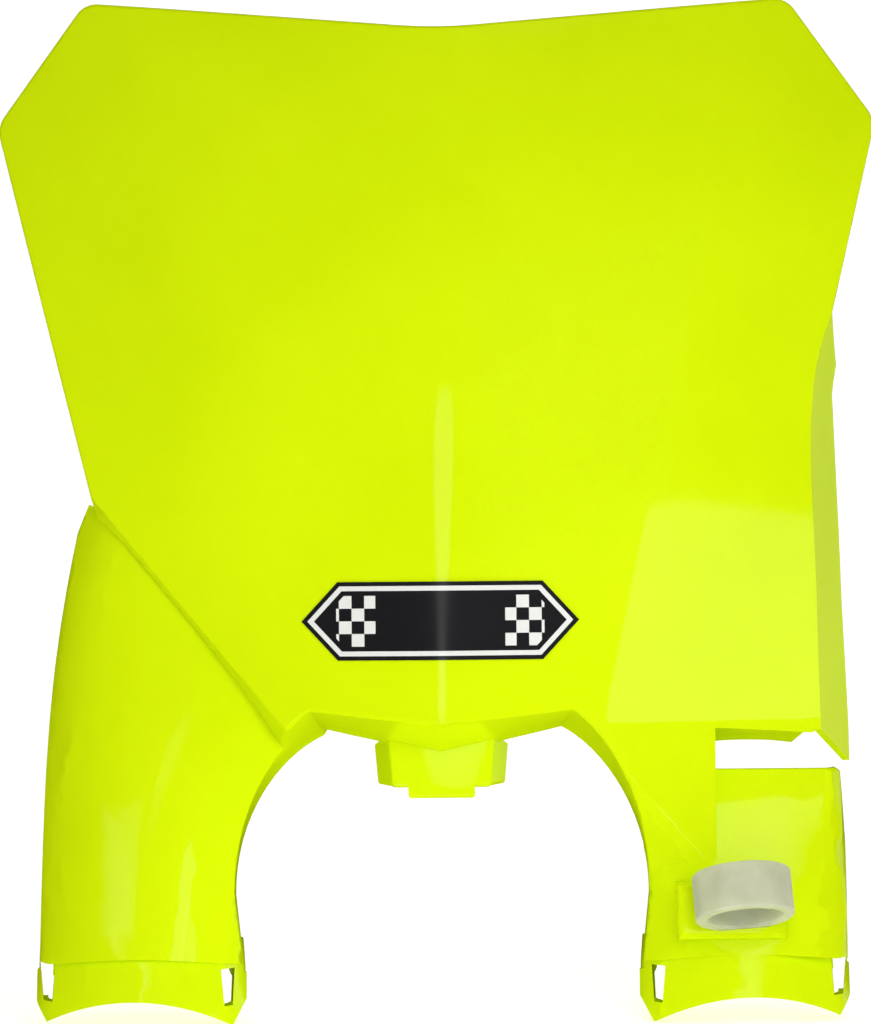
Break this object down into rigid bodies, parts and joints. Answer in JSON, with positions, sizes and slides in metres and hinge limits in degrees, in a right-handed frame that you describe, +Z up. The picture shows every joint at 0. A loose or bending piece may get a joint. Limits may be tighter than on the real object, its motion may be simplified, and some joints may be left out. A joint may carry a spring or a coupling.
{
  "type": "racing number board",
  "caption": "Moulded front number board for an off-road motorcycle, with a shallow V face, an arched gap between raked fork saddles, a plug-in tongue and a hose guide ring.",
  "frame": {"origin": "tip of the tongue under the centre tab, at the middle of its width and thickness", "axes": "X to the viewer's right across the board, Y to the rear of the motorcycle, Z up"},
  "size_m": [0.2925, 0.101, 0.3411],
  "materials": {
    "fluorescent_plastic": "fluorescent yellow polypropylene, moulded glossy with a faint orange-peel surface",
    "milky_nylon": "natural nylon, milky and slightly see-through, with fine cut marks",
    "printed_film": "printed vinyl film, black with a white border, under a clear gloss layer"
  },
  "bodies": {
    "root": {"number_plate": "fluorescent_plastic", "hose_guide": "milky_nylon", "decal": "printed_film"}
  },
  "joints": []
}
